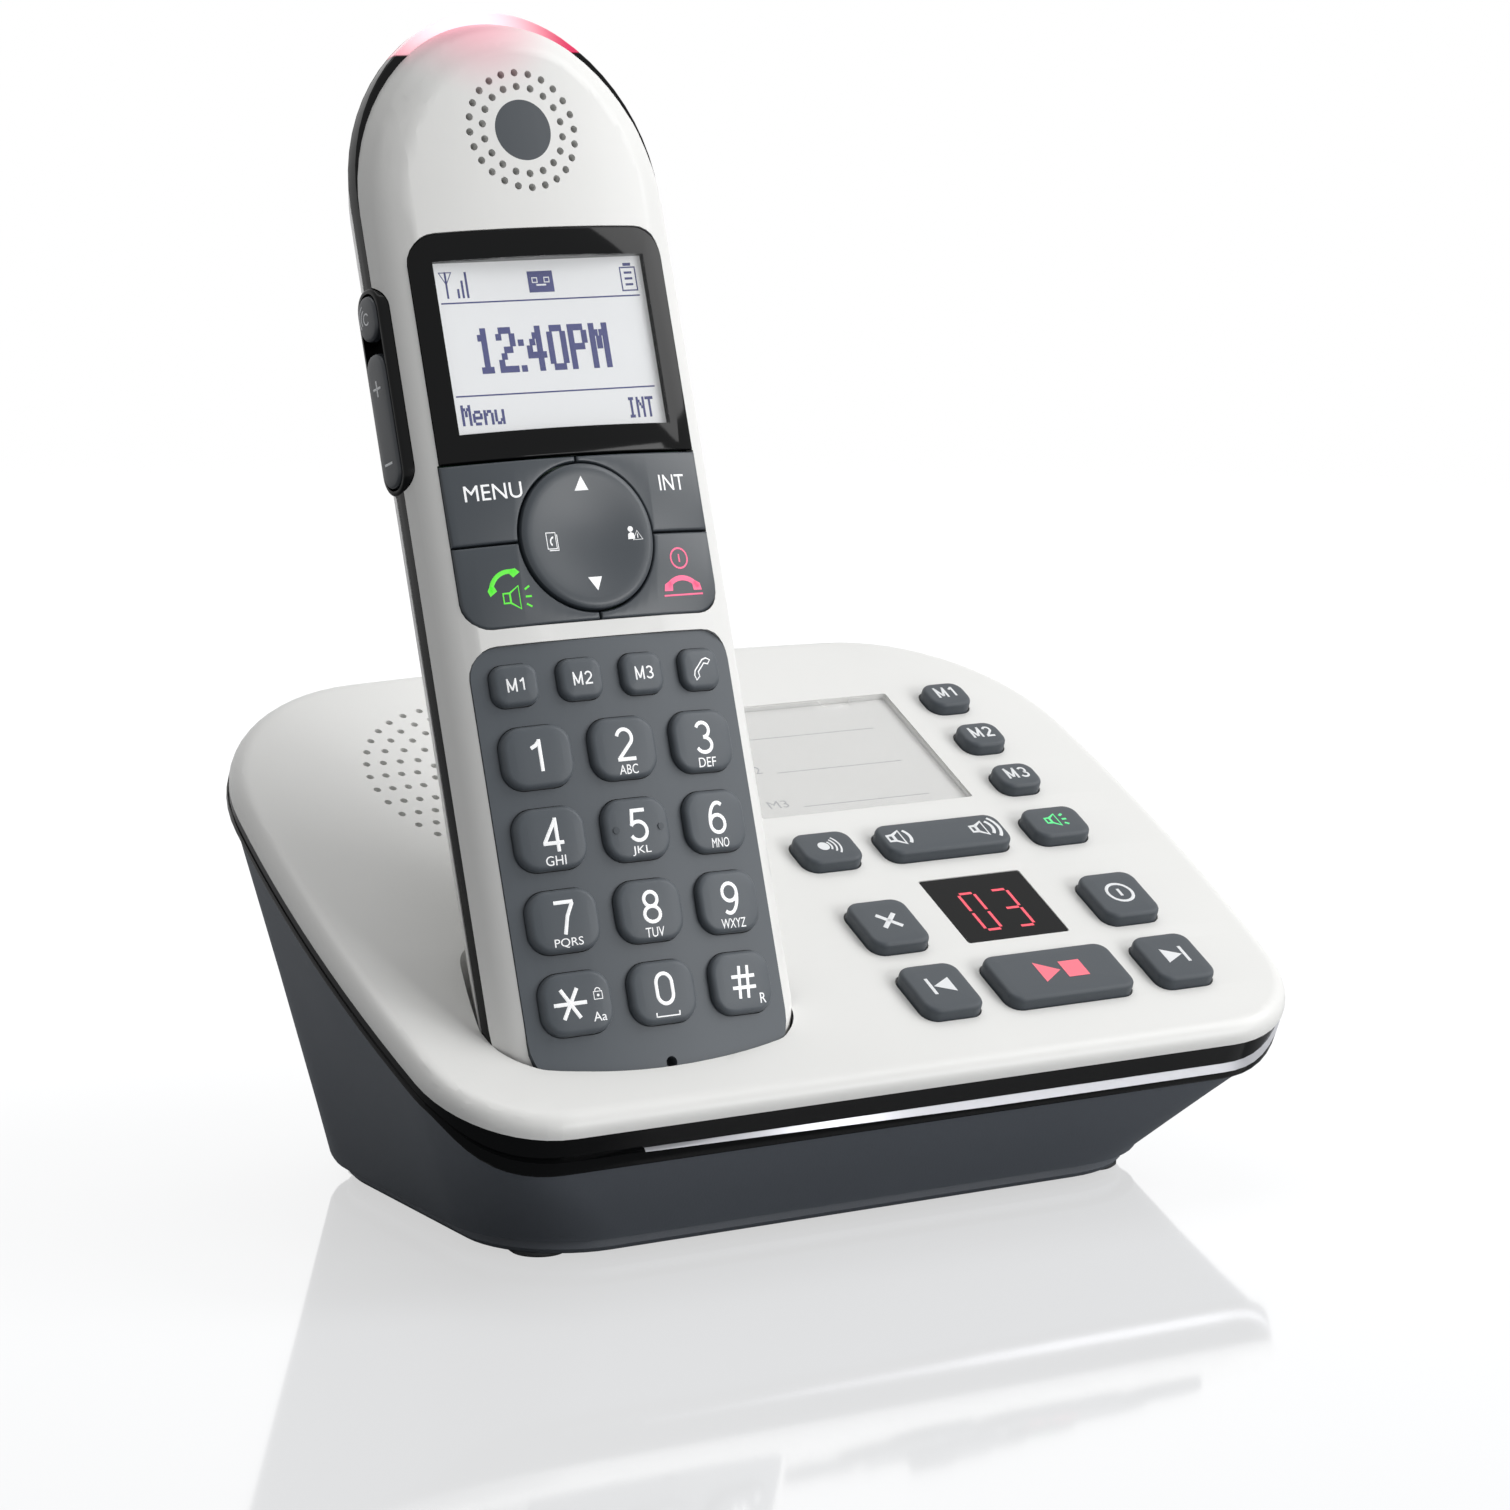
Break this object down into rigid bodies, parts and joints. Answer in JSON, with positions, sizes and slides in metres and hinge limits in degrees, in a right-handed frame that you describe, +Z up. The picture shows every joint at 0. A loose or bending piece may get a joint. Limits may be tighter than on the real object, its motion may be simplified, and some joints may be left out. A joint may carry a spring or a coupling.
{
  "type": "cordless phone",
  "caption": "Cordless telephone handset with keypad and screen, standing in a sloping charging base with an answering machine's keys, red counter window and speaker.",
  "frame": {"origin": "on the table, under the middle of the whole object", "axes": "+X to the right as the user sees it, +Y to the back, +Z up"},
  "size_m": [0.1538, 0.103, 0.1794],
  "materials": {
    "white_shell": "moulded, satin to glossy white",
    "grey_housing": "moulded, fine satin texture",
    "black_gloss": "moulded, polished black",
    "grey_keys": "moulded silicone rubber, matt",
    "clear_lens": "clear acrylic over a dark mask",
    "clear_sheet": "clear plastic sheet",
    "red_light": "translucent red plastic",
    "paper": "printed card",
    "screen": "liquid crystal module",
    "circuit": "printed circuit board",
    "spring_steel": "nickel plated contacts",
    "steel": "zinc plated screws",
    "speaker_metal": "pressed steel and paper cone",
    "cell_sleeve": "sleeved rechargeable cells",
    "soft_rubber": "soft moulded rubber"
  },
  "bodies": {
    "base": {"lower_housing": "grey_housing", "trim_band": "black_gloss", "top_cover": "white_shell", "base_circuit_board": "circuit", "loudspeaker": "speaker_metal", "rear_sockets": "black_gloss", "rubber_feet": "soft_rubber", "base_screws": "steel", "charge_pins": "spring_steel", "led_window": "clear_lens", "led_module": "black_gloss", "label_card": "paper"},
    "handset": {"front_shell": "white_shell", "rear_shell": "white_shell", "side_band": "black_gloss", "alert_light": "red_light", "display_lens": "clear_lens", "display_module": "screen", "keypad_web": "grey_keys", "handset_circuit_board": "circuit", "earpiece": "speaker_metal", "battery_cells": "cell_sleeve", "charge_plates": "spring_steel"},
    "card_cover": {"card_cover": "clear_sheet"},
    "page_key": {"page_key": "grey_keys"},
    "speaker_key": {"speaker_key": "grey_keys"},
    "delete_key": {"delete_key": "grey_keys"},
    "power_key": {"power_key": "grey_keys"},
    "previous_key": {"previous_key": "grey_keys"},
    "play_stop_key": {"play_stop_key": "grey_keys"},
    "next_key": {"next_key": "grey_keys"},
    "memory_key_1": {"memory_key_1": "grey_keys"},
    "memory_key_2": {"memory_key_2": "grey_keys"},
    "memory_key_3": {"memory_key_3": "grey_keys"},
    "volume_rocker": {"volume_rocker": "grey_keys"},
    "key_1": {"key_1": "grey_keys"},
    "key_2": {"key_2": "grey_keys"},
    "key_3": {"key_3": "grey_keys"},
    "key_4": {"key_4": "grey_keys"},
    "key_5": {"key_5": "grey_keys"},
    "key_6": {"key_6": "grey_keys"},
    "key_7": {"key_7": "grey_keys"},
    "key_8": {"key_8": "grey_keys"},
    "key_9": {"key_9": "grey_keys"},
    "key_star": {"key_star": "grey_keys"},
    "key_0": {"key_0": "grey_keys"},
    "key_hash": {"key_hash": "grey_keys"},
    "dial_key_1": {"dial_key_1": "grey_keys"},
    "dial_key_2": {"dial_key_2": "grey_keys"},
    "dial_key_3": {"dial_key_3": "grey_keys"},
    "recall_key": {"recall_key": "grey_keys"},
    "menu_key": {"menu_key": "black_gloss"},
    "intercom_key": {"intercom_key": "black_gloss"},
    "talk_key": {"talk_key": "black_gloss"},
    "end_key": {"end_key": "black_gloss"},
    "nav_dome": {"nav_dome": "spring_steel"},
    "nav_pad": {"nav_pad": "black_gloss"},
    "boost_key": {"boost_key": "black_gloss"},
    "side_volume_rocker": {"side_volume_rocker": "black_gloss"},
    "battery_door": {"battery_door": "white_shell"}
  },
  "joints": [
    {"name": "handset_lift", "type": "slide", "parent": "base", "child": "handset", "axis": [0, 0.3305, 0.9438], "range_m": [0, 0.06]},
    {"name": "card_cover_travel", "type": "slide", "parent": "base", "child": "card_cover", "axis": [0, -0.4274, 0.9041], "range_m": [0, 0.008]},
    {"name": "page_key_travel", "type": "slide", "parent": "base", "child": "page_key", "axis": [0, 0.4274, -0.9041], "range_m": [0, 0.0008], "stiffness_N_per_m": 150},
    {"name": "speaker_key_travel", "type": "slide", "parent": "base", "child": "speaker_key", "axis": [0, 0.4274, -0.9041], "range_m": [0, 0.0008], "stiffness_N_per_m": 150},
    {"name": "delete_key_travel", "type": "slide", "parent": "base", "child": "delete_key", "axis": [0, 0.4274, -0.9041], "range_m": [0, 0.0008], "stiffness_N_per_m": 150},
    {"name": "power_key_travel", "type": "slide", "parent": "base", "child": "power_key", "axis": [0, 0.4274, -0.9041], "range_m": [0, 0.0008], "stiffness_N_per_m": 150},
    {"name": "previous_key_travel", "type": "slide", "parent": "base", "child": "previous_key", "axis": [0, 0.4274, -0.9041], "range_m": [0, 0.0008], "stiffness_N_per_m": 150},
    {"name": "play_stop_key_travel", "type": "slide", "parent": "base", "child": "play_stop_key", "axis": [0, 0.4274, -0.9041], "range_m": [0, 0.0008], "stiffness_N_per_m": 150},
    {"name": "next_key_travel", "type": "slide", "parent": "base", "child": "next_key", "axis": [0, 0.4274, -0.9041], "range_m": [0, 0.0008], "stiffness_N_per_m": 150},
    {"name": "memory_key_1_travel", "type": "slide", "parent": "base", "child": "memory_key_1", "axis": [0, 0.4274, -0.9041], "range_m": [0, 0.0008], "stiffness_N_per_m": 150},
    {"name": "memory_key_2_travel", "type": "slide", "parent": "base", "child": "memory_key_2", "axis": [0, 0.4274, -0.9041], "range_m": [0, 0.0008], "stiffness_N_per_m": 150},
    {"name": "memory_key_3_travel", "type": "slide", "parent": "base", "child": "memory_key_3", "axis": [0, 0.4274, -0.9041], "range_m": [0, 0.0008], "stiffness_N_per_m": 150},
    {"name": "volume_rocker_rock", "type": "hinge", "parent": "base", "child": "volume_rocker", "pos_m": [0.03385, -0.00274, 0.04639], "axis": [0, 0.9041, 0.4274], "range_deg": [-2.5, 2.5], "stiffness_Nm_per_rad": 0.02},
    {"name": "key_1_travel", "type": "slide", "parent": "handset", "child": "key_1", "axis": [0, 0.9438, -0.3305], "range_m": [0, 0.0006], "stiffness_N_per_m": 150},
    {"name": "key_2_travel", "type": "slide", "parent": "handset", "child": "key_2", "axis": [0, 0.9438, -0.3305], "range_m": [0, 0.0006], "stiffness_N_per_m": 150},
    {"name": "key_3_travel", "type": "slide", "parent": "handset", "child": "key_3", "axis": [0, 0.9438, -0.3305], "range_m": [0, 0.0006], "stiffness_N_per_m": 150},
    {"name": "key_4_travel", "type": "slide", "parent": "handset", "child": "key_4", "axis": [0, 0.9438, -0.3305], "range_m": [0, 0.0006], "stiffness_N_per_m": 150},
    {"name": "key_5_travel", "type": "slide", "parent": "handset", "child": "key_5", "axis": [0, 0.9438, -0.3305], "range_m": [0, 0.0006], "stiffness_N_per_m": 150},
    {"name": "key_6_travel", "type": "slide", "parent": "handset", "child": "key_6", "axis": [0, 0.9438, -0.3305], "range_m": [0, 0.0006], "stiffness_N_per_m": 150},
    {"name": "key_7_travel", "type": "slide", "parent": "handset", "child": "key_7", "axis": [0, 0.9438, -0.3305], "range_m": [0, 0.0006], "stiffness_N_per_m": 150},
    {"name": "key_8_travel", "type": "slide", "parent": "handset", "child": "key_8", "axis": [0, 0.9438, -0.3305], "range_m": [0, 0.0006], "stiffness_N_per_m": 150},
    {"name": "key_9_travel", "type": "slide", "parent": "handset", "child": "key_9", "axis": [0, 0.9438, -0.3305], "range_m": [0, 0.0006], "stiffness_N_per_m": 150},
    {"name": "key_star_travel", "type": "slide", "parent": "handset", "child": "key_star", "axis": [0, 0.9438, -0.3305], "range_m": [0, 0.0006], "stiffness_N_per_m": 150},
    {"name": "key_0_travel", "type": "slide", "parent": "handset", "child": "key_0", "axis": [0, 0.9438, -0.3305], "range_m": [0, 0.0006], "stiffness_N_per_m": 150},
    {"name": "key_hash_travel", "type": "slide", "parent": "handset", "child": "key_hash", "axis": [0, 0.9438, -0.3305], "range_m": [0, 0.0006], "stiffness_N_per_m": 150},
    {"name": "dial_key_1_travel", "type": "slide", "parent": "handset", "child": "dial_key_1", "axis": [0, 0.9438, -0.3305], "range_m": [0, 0.0006], "stiffness_N_per_m": 150},
    {"name": "dial_key_2_travel", "type": "slide", "parent": "handset", "child": "dial_key_2", "axis": [0, 0.9438, -0.3305], "range_m": [0, 0.0006], "stiffness_N_per_m": 150},
    {"name": "dial_key_3_travel", "type": "slide", "parent": "handset", "child": "dial_key_3", "axis": [0, 0.9438, -0.3305], "range_m": [0, 0.0006], "stiffness_N_per_m": 150},
    {"name": "recall_key_travel", "type": "slide", "parent": "handset", "child": "recall_key", "axis": [0, 0.9438, -0.3305], "range_m": [0, 0.0006], "stiffness_N_per_m": 150},
    {"name": "menu_key_travel", "type": "slide", "parent": "handset", "child": "menu_key", "axis": [0, 0.9438, -0.3305], "range_m": [0, 0.0005], "stiffness_N_per_m": 150},
    {"name": "intercom_key_travel", "type": "slide", "parent": "handset", "child": "intercom_key", "axis": [0, 0.9438, -0.3305], "range_m": [0, 0.0005], "stiffness_N_per_m": 150},
    {"name": "talk_key_travel", "type": "slide", "parent": "handset", "child": "talk_key", "axis": [0, 0.9438, -0.3305], "range_m": [0, 0.0005], "stiffness_N_per_m": 150},
    {"name": "end_key_travel", "type": "slide", "parent": "handset", "child": "end_key", "axis": [0, 0.9438, -0.3305], "range_m": [0, 0.0005], "stiffness_N_per_m": 150},
    {"name": "nav_tilt_up_down", "type": "hinge", "parent": "handset", "child": "nav_dome", "pos_m": [-0.03745, -0.01543, 0.10387], "axis": [1, 0, 0], "range_deg": [-2.5, 2.5], "stiffness_Nm_per_rad": 0.02},
    {"name": "nav_tilt_left_right", "type": "hinge", "parent": "nav_dome", "child": "nav_pad", "pos_m": [-0.03745, -0.01543, 0.10387], "axis": [0, 0.3305, 0.9438], "range_deg": [-2.5, 2.5], "stiffness_Nm_per_rad": 0.02},
    {"name": "boost_key_travel", "type": "slide", "parent": "handset", "child": "boost_key", "axis": [1, 0, 0], "range_m": [0, 0.0006], "stiffness_N_per_m": 150},
    {"name": "side_volume_rocker_rock", "type": "hinge", "parent": "handset", "child": "side_volume_rocker", "pos_m": [-0.06275, -0.00339, 0.12148], "axis": [0, -0.9438, 0.3305], "range_deg": [-2, 2], "stiffness_Nm_per_rad": 0.02},
    {"name": "battery_door_travel", "type": "slide", "parent": "handset", "child": "battery_door", "axis": [0, 0.9438, -0.3305], "range_m": [0, 0.01]}
  ]
}
